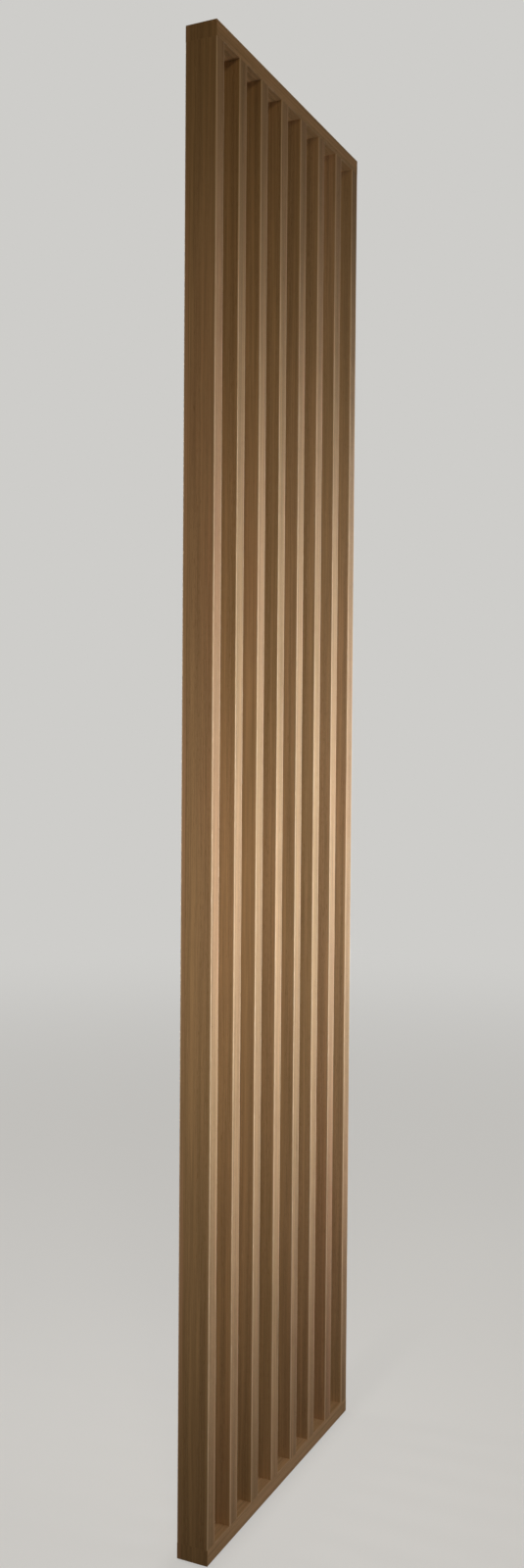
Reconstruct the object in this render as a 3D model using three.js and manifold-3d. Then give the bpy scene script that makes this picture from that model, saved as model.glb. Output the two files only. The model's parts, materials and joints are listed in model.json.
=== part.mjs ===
// Rotating slat room divider: one tall framed panel of upright slats. The whole panel turns about its
// own vertical centre line, on a pin that stands on the floor and a sprung pin that enters the ceiling.
// Millimetres, +Z up. X runs along the panel, and its front faces -Y. The origin is on the turning
// axis, on the underside of the floor plate.
import * as THREE from 'three';
import { mergeVertices } from 'three/addons/utils/BufferGeometryUtils.js';
import Module from 'manifold-3d';

const wasm = await Module();
wasm.setup();

// Panel: two stiles and the slats stand between two rails that run over their ends.
const PANEL_HEIGHT = 2650;
const PANEL_DEPTH = 60;
const STILE_WIDTH = 28;
const SLAT_WIDTH = 28;
const SLAT_GAP = 60;
const SLAT_COUNT = 6;
const RAIL_HEIGHT = 28;
const ARRIS_RADIUS = 0.8;

// Joinery: each end of an upright has one glued dowel and one screw through the rail.
const FIXING_INSET = 17;          // from the front or back face to the centre of a dowel or a screw
const DOWEL_DIAMETER = 8;
const DOWEL_IN_UPRIGHT = 22;
const DOWEL_COVER = 10;           // wood left in the rail over the dowel's end
const DOWEL_CHAMFER = 1;
const DOWEL_END_GAP = 1;          // room for glue past each end of a dowel
const FRAME_SCREW_DIAMETER = 4.5;
const FRAME_SCREW_HEAD = 9;
const FRAME_SCREW_BITE = 34;      // screw length inside the upright
const WOOD_FIT = 0.15;            // radial gap round what is set into wood

// Floor pivot: the panel's weight goes through a cup bush and a thrust disc onto a fixed pin.
const PLATE_LENGTH = 110;
const PLATE_WIDTH = 40;
const PLATE_THICKNESS = 3;
const PLATE_CORNER_RADIUS = 6;
const PLATE_HOLE_DIAMETER = 5;
const PLATE_HOLE_HEAD = 9;
const PLATE_HOLE_INSET = 9;       // from the plate's edges to the centre of a hole
const FLOOR_CLEARANCE = 1;        // from the floor plate to the panel's underside
const FLOOR_PIN_DIAMETER = 12;
const FLOOR_PIN_SOCKET = 2;       // depth of the pin's seat in the plate
const PIN_CHAMFER = 1;
const THRUST_DISC_THICKNESS = 1.5;
const THRUST_DISC_PLAY = 0.2;
const BUSH_WALL = 3.9;
const BUSH_END = 3;               // thickness of the cup's closed end
const RUNNING_FIT = 0.1;          // radial gap of a pin in its bore
const SEAT_GAP = 0.05;            // gap between faces that rest on each other

// Flanges of the bush and of the top housing, let into the rails and held by two small screws each.
const FLANGE_RIM = 10;
const FLANGE_THICKNESS = 2;
const FLANGE_SCREW_DIAMETER = 3;
const FLANGE_SCREW_HEAD = 6;
const FLANGE_SCREW_LENGTH = 14;
const POCKET_FLOOR = 4;           // wood left in a rail behind its pivot pocket
const POCKET_FIT = 0.3;

// Top pivot: a sprung pin in a housing in the top rail, and a bushed socket plate on the ceiling.
const TOP_PIN_DIAMETER = 10;
const TOP_PIN_TIP_CHAMFER = 1.5;
const COLLAR_STEP = 2;
const COLLAR_HEIGHT = 3;
const CAP_LEDGE = 0.9;
const CAP_HEIGHT = 3;
const HOUSING_WALL = 1.9;
const HOUSING_END = 2;
const SPRING_WIRE = 1.2;
const SPRING_TURNS = 5;
const SPRING_PLAY = 0.3;
const CEILING_CLEARANCE = 2;      // from the top rail to the socket bush
const SOCKET_WALL = 5;
const SOCKET_BOSS_HEIGHT = 4;
const SOCKET_BUSH_WALL = 2;
const SOCKET_BUSH_FLANGE = 1;
const PIN_TIP_GAP = 1;            // from the pin's tip to the ceiling

// Cross recess in the screw heads, as shares of the head's diameter.
const RECESS_SPAN = 0.5;
const RECESS_SLOT = 0.15;
const RECESS_DEPTH = 0.2;

// Facets round a full circle.
const FINE_SIDES = 32;
const SMALL_SIDES = 12;
const ARRIS_SIDES = 8;
const SPRING_SIDES = 6;
const SPRING_STEPS_PER_TURN = 12;

// Sizes worked out from those above.
const uprightCount = SLAT_COUNT + 2;
const panelWidth = 2 * STILE_WIDTH + SLAT_COUNT * SLAT_WIDTH + (SLAT_COUNT + 1) * SLAT_GAP;
const uprightLength = PANEL_HEIGHT - 2 * RAIL_HEIGHT;
const panelBase = PLATE_THICKNESS + FLOOR_CLEARANCE;
const panelTop = panelBase + PANEL_HEIGHT;
const uprightBase = panelBase + RAIL_HEIGHT;
const uprightTop = panelTop - RAIL_HEIGHT;
const dowelY = -PANEL_DEPTH / 2 + FIXING_INSET;
const screwY = PANEL_DEPTH / 2 - FIXING_INSET;
const pocketDepth = RAIL_HEIGHT - POCKET_FLOOR;

const bushBore = FLOOR_PIN_DIAMETER + 2 * RUNNING_FIT;
const bushBarrel = bushBore + 2 * BUSH_WALL;
const bushTop = panelBase + pocketDepth - SEAT_GAP;
const bushBoreTop = bushTop - BUSH_END;
const thrustDiscTop = bushBoreTop - SEAT_GAP;
const thrustDiscBase = thrustDiscTop - THRUST_DISC_THICKNESS;
const floorPinTop = thrustDiscBase - SEAT_GAP;

const collarDiameter = TOP_PIN_DIAMETER + 2 * COLLAR_STEP;
const housingBore = collarDiameter + 2 * RUNNING_FIT;
const capDiameter = housingBore + 2 * CAP_LEDGE;
const capSeat = capDiameter + 2 * WOOD_FIT;
const housingBarrel = capSeat + 2 * HOUSING_WALL;
const housingBase = panelTop - pocketDepth + SEAT_GAP;
const housingBoreBase = housingBase + HOUSING_END;
const capBase = panelTop - CAP_HEIGHT;
const collarTop = capBase - SEAT_GAP;
const collarBase = collarTop - COLLAR_HEIGHT;

const socketBushBase = panelTop + CEILING_CLEARANCE;
const bossBase = socketBushBase + SOCKET_BUSH_FLANGE;
const ceilingPlateBase = bossBase + SOCKET_BOSS_HEIGHT;
const ceilingHeight = ceilingPlateBase + PLATE_THICKNESS;
const socketBushBore = TOP_PIN_DIAMETER + 2 * RUNNING_FIT;
const socketBushDiameter = socketBushBore + 2 * SOCKET_BUSH_WALL;
const socketBore = socketBushDiameter + 2 * WOOD_FIT;
const bossDiameter = socketBore + 2 * SOCKET_WALL;
const topPinTip = ceilingHeight - PIN_TIP_GAP;

// Materials.
const wood = { color: 0xa98863, roughness: 0.55, metalness: 0 };
const dowelWood = { color: 0xcdb48c, roughness: 0.7, metalness: 0 };
const zincSteel = { color: 0xb9bcc0, roughness: 0.35, metalness: 1 };
const bronze = { color: 0xa9793f, roughness: 0.4, metalness: 1 };
const acetal = { color: 0x1c1c1d, roughness: 0.45, metalness: 0 };

const group = new THREE.Group();

// Geometry with shared vertices only, and without triangles that have closed up to a line.
function weld(geometry) {
  const bare = geometry.clone();
  bare.deleteAttribute('normal');
  bare.deleteAttribute('uv');
  const merged = mergeVertices(bare, 1e-4);
  const index = merged.index.array;
  const kept = [];
  for (let i = 0; i < index.length; i += 3) {
    const [a, b, c] = [index[i], index[i + 1], index[i + 2]];
    if (a !== b && b !== c && c !== a) {
      kept.push(a, b, c);
    }
  }
  merged.setIndex(kept);
  return merged;
}

function toSolid(geometry) {
  const welded = weld(geometry);
  const vertProperties = new Float32Array(welded.attributes.position.array);
  const triVerts = new Uint32Array(welded.index.array);
  return new wasm.Manifold(new wasm.Mesh({ numProp: 3, vertProperties, triVerts }));
}

function toGeometry(solid) {
  const mesh = solid.getMesh();
  const geometry = new THREE.BufferGeometry();
  geometry.setAttribute('position', new THREE.BufferAttribute(new Float32Array(mesh.vertProperties), 3));
  geometry.setIndex(new THREE.BufferAttribute(new Uint32Array(mesh.triVerts), 1));
  geometry.computeVertexNormals();
  return geometry;
}

// Cuts every cutter out of a body, all given as geometries.
function cut(body, cutters) {
  return toGeometry(cutters.reduce((solid, cutter) => solid.subtract(toSolid(cutter)), toSolid(body)));
}

function addMesh(name, geometry, look) {
  const mesh = new THREE.Mesh(geometry, new THREE.MeshStandardMaterial({ ...look, flatShading: true }));
  mesh.name = name;
  group.add(mesh);
}

// Points of an arc, from one number of quarter turns to another.
function arcPoints(x, y, radius, fromQuarter, toQuarter, steps) {
  return Array.from({ length: steps + 1 }, (_, step) => {
    const angle = (fromQuarter + (toQuarter - fromQuarter) * step / steps) * Math.PI / 2;
    return new THREE.Vector2(x + radius * Math.cos(angle), y + radius * Math.sin(angle));
  });
}

// Rectangle with rounded corners, centred on the origin of the drawing plane.
function roundedRectangle(width, height, radius, sides) {
  const [x, y] = [width / 2 - radius, height / 2 - radius];
  const centres = [[x, y], [-x, y], [-x, -y], [x, -y]];
  return new THREE.Shape(centres.flatMap(([centreX, centreY], quarter) => (
    arcPoints(centreX, centreY, radius, quarter, quarter + 1, sides / 4)
  )));
}

function extrude(shape, depth) {
  return new THREE.ExtrudeGeometry(shape, { depth, bevelEnabled: false });
}

// Round solid about the Z axis from [radius, z] points that run up the outside.
function turned(profile, sides) {
  const points = profile.map(([radius, z]) => new THREE.Vector2(radius, z));
  return new THREE.LatheGeometry(points, sides).rotateX(Math.PI / 2);
}

// Upright round bar between two heights, wider at one end where two diameters are given.
function roundBar(x, y, base, top, baseDiameter, topDiameter = baseDiameter, sides = SMALL_SIDES) {
  const bar = new THREE.CylinderGeometry(topDiameter / 2, baseDiameter / 2, top - base, sides);
  return bar.rotateX(Math.PI / 2).translate(x, y, (base + top) / 2);
}

// Centre of an upright along X, counted from the left stile (0) to the right stile.
function uprightX(index) {
  const stileCentre = panelWidth / 2 - STILE_WIDTH / 2;
  if (index === 0) {
    return -stileCentre;
  }
  if (index === uprightCount - 1) {
    return stileCentre;
  }
  return -panelWidth / 2 + STILE_WIDTH + index * SLAT_GAP + (index - 0.5) * SLAT_WIDTH;
}

const uprightPlaces = Array.from({ length: uprightCount }, (_, index) => uprightX(index));

// Countersunk screw that points down from a head at height zero, with a cross recess.
function screwGeometry(diameter, head, length) {
  const sink = (head - diameter) / 2;
  const rim = sink / 4;
  const tip = 1.5 * diameter;
  const body = turned([
    [0, -length],
    [diameter / 2, tip - length],
    [diameter / 2, -sink - rim],
    [head / 2, -rim],
    [head / 2, 0],
    [0, 0],
  ], SMALL_SIDES);
  const long = new THREE.BoxGeometry(RECESS_SPAN * head, RECESS_SLOT * head, 2 * RECESS_DEPTH * head);
  const cross = new THREE.BoxGeometry(RECESS_SLOT * head, RECESS_SPAN * head, 2 * RECESS_DEPTH * head);
  return cut(body, [long, cross]);
}

// Hole for such a screw, with a little room all round and past the head.
function screwHole(diameter, head, length) {
  const sink = (head - diameter) / 2;
  const rim = sink / 4;
  return turned([
    [0, -length - WOOD_FIT],
    [diameter / 2 + WOOD_FIT, -length - WOOD_FIT],
    [diameter / 2 + WOOD_FIT, -sink - rim - WOOD_FIT],
    [head / 2 + WOOD_FIT, -rim - WOOD_FIT],
    [head / 2 + WOOD_FIT, 1],
    [0, 1],
  ], SMALL_SIDES);
}

// Places something that points down from its head so that the head is at the given point, facing
// up on top of the panel and facing down on its underside.
function facing(geometry, x, y, z, up) {
  const placed = geometry.clone();
  if (!up) {
    placed.rotateX(Math.PI);
  }
  return placed.translate(x, y, z);
}

function frameScrewHole(x, up) {
  const hole = screwHole(FRAME_SCREW_DIAMETER, FRAME_SCREW_HEAD, RAIL_HEIGHT + FRAME_SCREW_BITE);
  return facing(hole, x, screwY, up ? panelTop : panelBase, up);
}

function dowelHole(x, up) {
  const joint = up ? uprightTop : uprightBase;
  const intoRail = RAIL_HEIGHT - DOWEL_COVER + DOWEL_END_GAP;
  const intoUpright = DOWEL_IN_UPRIGHT + DOWEL_END_GAP;
  const base = up ? joint - intoUpright : joint - intoRail;
  const top = up ? joint + intoRail : joint + intoUpright;
  return roundBar(x, dowelY, base, top, DOWEL_DIAMETER + 2 * WOOD_FIT);
}

function upright(name, index, width) {
  const x = uprightPlaces[index];
  const bar = extrude(roundedRectangle(width, PANEL_DEPTH, ARRIS_RADIUS, ARRIS_SIDES), uprightLength);
  bar.translate(x, 0, uprightBase);
  const holes = [frameScrewHole(x, false), frameScrewHole(x, true), dowelHole(x, false), dowelHole(x, true)];
  addMesh(name, cut(bar, holes), wood);
}

// Distance from the axis to the two small screws in a flange round the given barrel.
function flangeScrewX(barrel) {
  return (barrel + FLANGE_RIM) / 2;
}

function flangeScrewHoles(barrel, faceZ, up) {
  const hole = screwHole(FLANGE_SCREW_DIAMETER, FLANGE_SCREW_HEAD, FLANGE_SCREW_LENGTH);
  return [-1, 1].map((side) => facing(hole, side * flangeScrewX(barrel), 0, faceZ, up));
}

// Pocket in a rail for a flanged barrel, from the face at faceZ inwards.
function pivotPocket(barrel, faceZ, up) {
  const flangeRadius = barrel / 2 + FLANGE_RIM + POCKET_FIT;
  const pocket = turned([
    [0, -pocketDepth],
    [barrel / 2 + POCKET_FIT, -pocketDepth],
    [barrel / 2 + POCKET_FIT, -FLANGE_THICKNESS - SEAT_GAP],
    [flangeRadius, -FLANGE_THICKNESS - SEAT_GAP],
    [flangeRadius, 1],
    [0, 1],
  ], FINE_SIDES);
  return facing(pocket, 0, 0, faceZ, up);
}

function rail(name, up, barrel) {
  const base = up ? uprightTop : panelBase;
  const faceZ = up ? panelTop : panelBase;
  const bar = extrude(roundedRectangle(PANEL_DEPTH, RAIL_HEIGHT, ARRIS_RADIUS, ARRIS_SIDES), panelWidth);
  const alongX = new THREE.Matrix4().makeBasis(
    new THREE.Vector3(0, 1, 0),
    new THREE.Vector3(0, 0, 1),
    new THREE.Vector3(1, 0, 0),
  );
  bar.applyMatrix4(alongX).translate(-panelWidth / 2, 0, base + RAIL_HEIGHT / 2);
  const holes = uprightPlaces.flatMap((x) => [frameScrewHole(x, up), dowelHole(x, up)]);
  holes.push(pivotPocket(barrel, faceZ, up), ...flangeScrewHoles(barrel, faceZ, up));
  addMesh(name, cut(bar, holes), wood);
}

function dowel(name, x, up) {
  const joint = up ? uprightTop : uprightBase;
  const inRail = RAIL_HEIGHT - DOWEL_COVER;
  const base = up ? joint - DOWEL_IN_UPRIGHT : joint - inRail;
  const length = DOWEL_IN_UPRIGHT + inRail;
  const radius = DOWEL_DIAMETER / 2;
  const pin = turned([
    [0, 0],
    [radius - DOWEL_CHAMFER, 0],
    [radius, DOWEL_CHAMFER],
    [radius, length - DOWEL_CHAMFER],
    [radius - DOWEL_CHAMFER, length],
    [0, length],
  ], SMALL_SIDES);
  addMesh(name, weld(pin).translate(x, dowelY, base), dowelWood);
}

function frameJoinery(side, up) {
  const screw = screwGeometry(FRAME_SCREW_DIAMETER, FRAME_SCREW_HEAD, RAIL_HEIGHT + FRAME_SCREW_BITE);
  uprightPlaces.forEach((x, index) => {
    dowel(`dowel_${side}_${index + 1}`, x, up);
    const placed = facing(screw, x, screwY, up ? panelTop : panelBase, up);
    addMesh(`frame_screw_${side}_${index + 1}`, placed, zincSteel);
  });
}

function flangeScrews(name, barrel, faceZ, up) {
  const screw = screwGeometry(FLANGE_SCREW_DIAMETER, FLANGE_SCREW_HEAD, FLANGE_SCREW_LENGTH);
  [-1, 1].forEach((side, index) => {
    const placed = facing(screw, side * flangeScrewX(barrel), 0, faceZ, up);
    addMesh(`${name}_${index + 1}`, placed, zincSteel);
  });
}

// Flat plate with rounded corners and four countersunk holes, which open away from the building.
function mountingPlate(base, countersinkUp) {
  const shape = roundedRectangle(PLATE_LENGTH, PLATE_WIDTH, PLATE_CORNER_RADIUS, FINE_SIDES);
  const plate = extrude(shape, PLATE_THICKNESS).translate(0, 0, base);
  const [x, y] = [PLATE_LENGTH / 2 - PLATE_HOLE_INSET, PLATE_WIDTH / 2 - PLATE_HOLE_INSET];
  const sink = (PLATE_HOLE_HEAD - PLATE_HOLE_DIAMETER) / 2;
  const hole = turned([
    [0, -PLATE_THICKNESS - 1],
    [PLATE_HOLE_DIAMETER / 2, -PLATE_THICKNESS - 1],
    [PLATE_HOLE_DIAMETER / 2, -sink],
    [PLATE_HOLE_HEAD / 2, 0],
    [PLATE_HOLE_HEAD / 2, 1],
    [0, 1],
  ], SMALL_SIDES);
  const face = countersinkUp ? base + PLATE_THICKNESS : base;
  const corners = [[-x, -y], [x, -y], [x, y], [-x, y]];
  return cut(plate, corners.map(([holeX, holeY]) => facing(hole, holeX, holeY, face, countersinkUp)));
}

function floorPlate() {
  const plate = mountingPlate(0, true);
  const seatBase = PLATE_THICKNESS - FLOOR_PIN_SOCKET;
  const seatDiameter = FLOOR_PIN_DIAMETER + 2 * WOOD_FIT;
  const seat = roundBar(0, 0, seatBase, PLATE_THICKNESS + 1, seatDiameter, seatDiameter, FINE_SIDES);
  addMesh('floor_plate', cut(plate, [seat]), zincSteel);
}

function floorPin() {
  const radius = FLOOR_PIN_DIAMETER / 2;
  const pin = turned([
    [0, PLATE_THICKNESS - FLOOR_PIN_SOCKET + SEAT_GAP],
    [radius, PLATE_THICKNESS - FLOOR_PIN_SOCKET + SEAT_GAP],
    [radius, floorPinTop - PIN_CHAMFER],
    [radius - PIN_CHAMFER, floorPinTop],
    [0, floorPinTop],
  ], FINE_SIDES);
  addMesh('floor_pin', weld(pin), zincSteel);
}

function thrustDisc() {
  const diameter = bushBore - 2 * THRUST_DISC_PLAY;
  const disc = roundBar(0, 0, thrustDiscBase, thrustDiscTop, diameter, diameter, FINE_SIDES);
  addMesh('thrust_disc', weld(disc), acetal);
}

function bottomBush() {
  const flangeRadius = bushBarrel / 2 + FLANGE_RIM;
  const bush = turned([
    [bushBore / 2, panelBase],
    [flangeRadius, panelBase],
    [flangeRadius, panelBase + FLANGE_THICKNESS],
    [bushBarrel / 2, panelBase + FLANGE_THICKNESS],
    [bushBarrel / 2, bushTop],
    [0, bushTop],
    [0, bushBoreTop],
    [bushBore / 2, bushBoreTop],
    [bushBore / 2, panelBase],
  ], FINE_SIDES);
  addMesh('bottom_bush', cut(bush, flangeScrewHoles(bushBarrel, panelBase, false)), bronze);
}

function topHousing() {
  const flangeRadius = housingBarrel / 2 + FLANGE_RIM;
  const seatBase = capBase - SEAT_GAP;
  const housing = turned([
    [0, housingBoreBase],
    [0, housingBase],
    [housingBarrel / 2, housingBase],
    [housingBarrel / 2, panelTop - FLANGE_THICKNESS],
    [flangeRadius, panelTop - FLANGE_THICKNESS],
    [flangeRadius, panelTop],
    [capSeat / 2, panelTop],
    [capSeat / 2, seatBase],
    [housingBore / 2, seatBase],
    [housingBore / 2, housingBoreBase],
    [0, housingBoreBase],
  ], FINE_SIDES);
  addMesh('top_housing', cut(housing, flangeScrewHoles(housingBarrel, panelTop, true)), zincSteel);
}

function housingCap() {
  const bore = TOP_PIN_DIAMETER / 2 + RUNNING_FIT;
  const cap = turned([
    [bore, capBase],
    [capDiameter / 2, capBase],
    [capDiameter / 2, panelTop],
    [bore, panelTop],
    [bore, capBase],
  ], FINE_SIDES);
  addMesh('housing_cap', weld(cap), bronze);
}

function topPin() {
  const radius = TOP_PIN_DIAMETER / 2;
  const pin = turned([
    [0, collarBase],
    [collarDiameter / 2, collarBase],
    [collarDiameter / 2, collarTop],
    [radius, collarTop],
    [radius, topPinTip - TOP_PIN_TIP_CHAMFER],
    [radius - TOP_PIN_TIP_CHAMFER, topPinTip],
    [0, topPinTip],
  ], FINE_SIDES);
  addMesh('top_pin', weld(pin), zincSteel);
}

// Centre line of the spring, a plain helix between the housing's floor and the pin's collar.
class Helix extends THREE.Curve {
  constructor(radius, base, top, turns) {
    super();
    Object.assign(this, { radius, base, top, turns });
  }

  getPoint(share, target = new THREE.Vector3()) {
    const angle = 2 * Math.PI * this.turns * share;
    const z = this.base + (this.top - this.base) * share;
    return target.set(this.radius * Math.cos(angle), this.radius * Math.sin(angle), z);
  }
}

function topSpring() {
  const radius = housingBore / 2 - SPRING_PLAY - SPRING_WIRE / 2;
  const [base, top] = [housingBoreBase + SEAT_GAP, collarBase - SEAT_GAP];
  const path = new Helix(radius, base + SPRING_WIRE / 2, top - SPRING_WIRE / 2, SPRING_TURNS);
  const wire = new THREE.Shape(arcPoints(0, 0, SPRING_WIRE / 2, 0, 4, SPRING_SIDES).slice(1));
  const coil = new THREE.ExtrudeGeometry(wire, {
    steps: SPRING_TURNS * SPRING_STEPS_PER_TURN,
    extrudePath: path,
  });
  const leastGap = (path.top - path.base) / SPRING_TURNS - SPRING_WIRE;
  console.log(`top_spring: least gap between turns ${leastGap.toFixed(2)} mm`);
  addMesh('top_spring', weld(coil), zincSteel);
}

function ceilingPlate() {
  const plate = toSolid(mountingPlate(ceilingPlateBase, false));
  const boss = roundBar(0, 0, bossBase, ceilingPlateBase + 1, bossDiameter, bossDiameter, FINE_SIDES);
  const bore = roundBar(0, 0, bossBase - 1, ceilingHeight + 1, socketBore, socketBore, FINE_SIDES);
  addMesh('ceiling_plate', toGeometry(plate.add(toSolid(boss)).subtract(toSolid(bore))), zincSteel);
}

function socketBush() {
  const bush = turned([
    [socketBushBore / 2, socketBushBase],
    [bossDiameter / 2, socketBushBase],
    [bossDiameter / 2, bossBase - SEAT_GAP],
    [socketBushDiameter / 2, bossBase - SEAT_GAP],
    [socketBushDiameter / 2, ceilingHeight],
    [socketBushBore / 2, ceilingHeight],
    [socketBushBore / 2, socketBushBase],
  ], FINE_SIDES);
  addMesh('socket_bush', weld(bush), acetal);
}

function frame() {
  rail('bottom_rail', false, bushBarrel);
  rail('top_rail', true, housingBarrel);
  upright('left_stile', 0, STILE_WIDTH);
  for (let index = 1; index <= SLAT_COUNT; index += 1) {
    upright(`slat_${index}`, index, SLAT_WIDTH);
  }
  upright('right_stile', uprightCount - 1, STILE_WIDTH);
  frameJoinery('bottom', false);
  frameJoinery('top', true);
}

function floorPivot() {
  floorPlate();
  floorPin();
  thrustDisc();
  bottomBush();
  flangeScrews('bush_screw', bushBarrel, panelBase, false);
}

function topPivot() {
  topHousing();
  housingCap();
  topPin();
  topSpring();
  flangeScrews('housing_screw', housingBarrel, panelTop, true);
  ceilingPlate();
  socketBush();
}

frame();
floorPivot();
topPivot();

export default group;
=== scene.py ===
"""Looks of the rotating slat room divider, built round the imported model.

Metres, in the model's own frame: X runs along the panel, its front faces -Y and Z is up.
"""
import json
import math

import bmesh
import bpy
from mathutils import Matrix, Vector


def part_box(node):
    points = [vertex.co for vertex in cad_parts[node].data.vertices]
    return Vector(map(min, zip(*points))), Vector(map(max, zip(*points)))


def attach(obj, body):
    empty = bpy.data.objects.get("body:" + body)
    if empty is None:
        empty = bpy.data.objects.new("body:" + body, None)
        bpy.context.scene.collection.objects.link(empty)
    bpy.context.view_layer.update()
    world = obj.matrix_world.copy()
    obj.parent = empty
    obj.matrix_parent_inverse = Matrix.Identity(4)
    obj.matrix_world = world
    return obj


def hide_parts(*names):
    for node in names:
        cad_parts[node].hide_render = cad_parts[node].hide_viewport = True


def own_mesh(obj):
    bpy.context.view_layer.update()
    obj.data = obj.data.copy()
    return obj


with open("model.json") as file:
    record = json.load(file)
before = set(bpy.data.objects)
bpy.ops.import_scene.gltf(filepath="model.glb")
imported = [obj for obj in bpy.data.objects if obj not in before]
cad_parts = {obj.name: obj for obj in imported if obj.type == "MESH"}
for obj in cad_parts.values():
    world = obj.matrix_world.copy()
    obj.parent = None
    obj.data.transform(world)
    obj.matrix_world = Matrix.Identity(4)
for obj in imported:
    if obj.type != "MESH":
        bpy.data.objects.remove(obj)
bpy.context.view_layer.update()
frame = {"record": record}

MM = 0.001


def srgb(red, green, blue):
    """Linear colour from 0-255 screen values."""
    def linear(value):
        share = value / 255
        return share / 12.92 if share <= 0.04045 else ((share + 0.055) / 1.055) ** 2.4

    return (linear(red), linear(green), linear(blue), 1.0)


# Camera, fitted to the corners and the long edges of the panel in the photograph.
CAMERA_PLACE = Vector((-2.4777, -1.1420, 1.4360))
CAMERA_YAW = math.radians(25.277)      # from +X towards +Y
CAMERA_PITCH = math.radians(-1.667)
CAMERA_ROLL = math.radians(-0.424)
FOCAL_PIXELS = 1447.8
IMAGE_HEIGHT = 1600
SENSOR = 36.0

# Wooden pieces.
UPRIGHTS = ["left_stile", *[f"slat_{index}" for index in range(1, 7)], "right_stile"]
ARRIS = 0.9 * MM
ARRIS_STEPS = 5
ARRIS_HIGHLIGHT_WIDTH = 1.5 * MM                  # how far the painted highlight on an arris fades into a face
END_EASE = 0.10 * MM                   # tiny chamfer where an upright meets a rail
BUTT_EDGE = 0.10 * MM                  # what is left of a rail's arris where an upright meets it
LENGTH_STEP = 0.12                     # spacing of the edge loops along a piece
UPRIGHT_SEEDS = [31.0, 14.7, 18.4, 22.1, 25.8, 29.5, 33.2, 36.9]
UPRIGHT_TONES = [1.0, 1.0, 0.98, 1.02, 0.98, 1.02, 0.99, 1.0]
RAIL_SEEDS = {"bottom_rail": 83.0, "top_rail": 71.0}
RAIL_TONES = {"bottom_rail": 1.15, "top_rail": 1.32}
RAIL_ARRIS_HIGHLIGHT = 0.25                    # the painted highlight on the rails' arrises is faint
END_BAND_SHIFT = 0.002                 # shift in the pattern, so that its streaks nearly run on

# Fits, as in the model.
FIT = 0.15 * MM
POCKET_FIT = 0.3 * MM
RUNNING_FIT = 0.1 * MM
SEAT_GAP = 0.05 * MM

# Dowels and screws.
DOWEL_CHAMFER = 1.0 * MM
FLUTES = 14
FLUTE_DEPTH = 0.25 * MM
FLUTE_SIDES = 84
FRAME_SCREW_SHANK = 4.5 * MM
FRAME_SCREW_PITCH = 2.2 * MM
FRAME_SCREW_NECK = 24.0 * MM           # bare length between the head and the thread
FLANGE_SCREW_SHANK = 3.0 * MM
FLANGE_SCREW_PITCH = 1.35 * MM
FLANGE_SCREW_NECK = 1.0 * MM
SCREW_TIP = 1.5                        # length of the tip, in shanks
SCREW_HEAD_EASE = 0.12 * MM
THREAD_DEPTH = 0.3                     # share of the screw's radius
THREAD_FLANK = 0.4                     # share of the pitch from the crest down to the valley
THREAD_STEPS = 6                       # rings in each turn of a thread
SCREW_SIDES = 32

# Floor plate, ceiling plate and what turns on them.
PLATE_THICKNESS = 3.0 * MM
PLATE_HOLE = 5.0 * MM
PLATE_HOLE_HEAD = 9.0 * MM
PLATE_HOLE_INSET = 9.0 * MM
PLATE_CORNER = 6.0 * MM
PLATE_CORNER_STEPS = 8
PLATE_EDGE = 0.4 * MM                  # radius of the rolled edges
PLATE_EDGE_STEPS = 4
PLATE_LOOP = 1.0 * MM                  # from a rounded corner to the loop beside it
WELD_BEAD = 0.8 * MM
FLANGE = 2.0 * MM
FLANGE_RIM = 10.0 * MM
FLOOR_PIN_CHAMFER = 1.0 * MM
DIMPLE = 1.5 * MM                      # radius of the dimple in each face of the thrust disc
DIMPLE_DEPTH = DIMPLE / 4
HOUSING_END = 2.0 * MM
COLLAR_STEP = 2.0 * MM
TOP_PIN_CHAMFER = 1.5 * MM
SPANNER_HOLE = 0.6 * MM                # radius
SPANNER_HOLE_DEPTH = 1.0 * MM
SOCKET_BUSH_WALL = 2.0 * MM
SPRING_WIRE = 1.2 * MM
SPRING_TURNS = 5
CLOSED_TURNS = 0.8                     # at each end
OPEN_CLIMB = 2.9                       # climb of the open turns, against that of the closed ends
SPRING_STEPS = 40                      # steps in each turn
WIRE_SIDES = 14
WIRE_CREASE = math.radians(50)

SPARE = 1.0 * MM                       # how far a cutter reaches past a face that it opens
EASE = 0.3 * MM                        # rounding of the corners of turned pieces
SMALL_EASE = 0.25 * MM
FINE_EASE = 0.2 * MM
EASED_SHARE = 0.45                     # most of a side that one rounded corner takes
SMOOTH_SIDES = 64
HOLE_SIDES = 40

# Room.
BACKDROP = srgb(206, 205, 202)
FILL = (1.0, 0.70, 0.36, 1.0)          # dim light from all round, which the camera doesn't see
FILL_STRENGTH = 0.055
FLOOR_RADIUS = 60.0
FLOOR_SIDES = 96
FLOOR_DROP = 0.1 * MM                  # from the panel's floor plate down to the floor
FLOOR_SHOWN = srgb(146, 145, 143)      # what the lamps light, and so what the shadow darkens
FLOOR_LIFT = 0.78                      # share of the backdrop's colour that is added to it
FLOOR_BOUNCE = srgb(96, 88, 76)        # the floor as the panel sees it
FADE_START = 2.0                       # where the floor starts to pass into the backdrop
FADE_END = 7.0


# ---------------------------------------------------------------- materials


def add_node(tree, kind, inputs=None, **settings):
    """New node with these settings. Its inputs are values, or sockets that are linked to it."""
    made = tree.nodes.new(kind)
    for key, value in settings.items():
        setattr(made, key, value)
    for key, value in (inputs or {}).items():
        if isinstance(value, bpy.types.NodeSocket):
            tree.links.new(value, made.inputs[key])
        else:
            made.inputs[key].default_value = value
    return made


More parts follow.
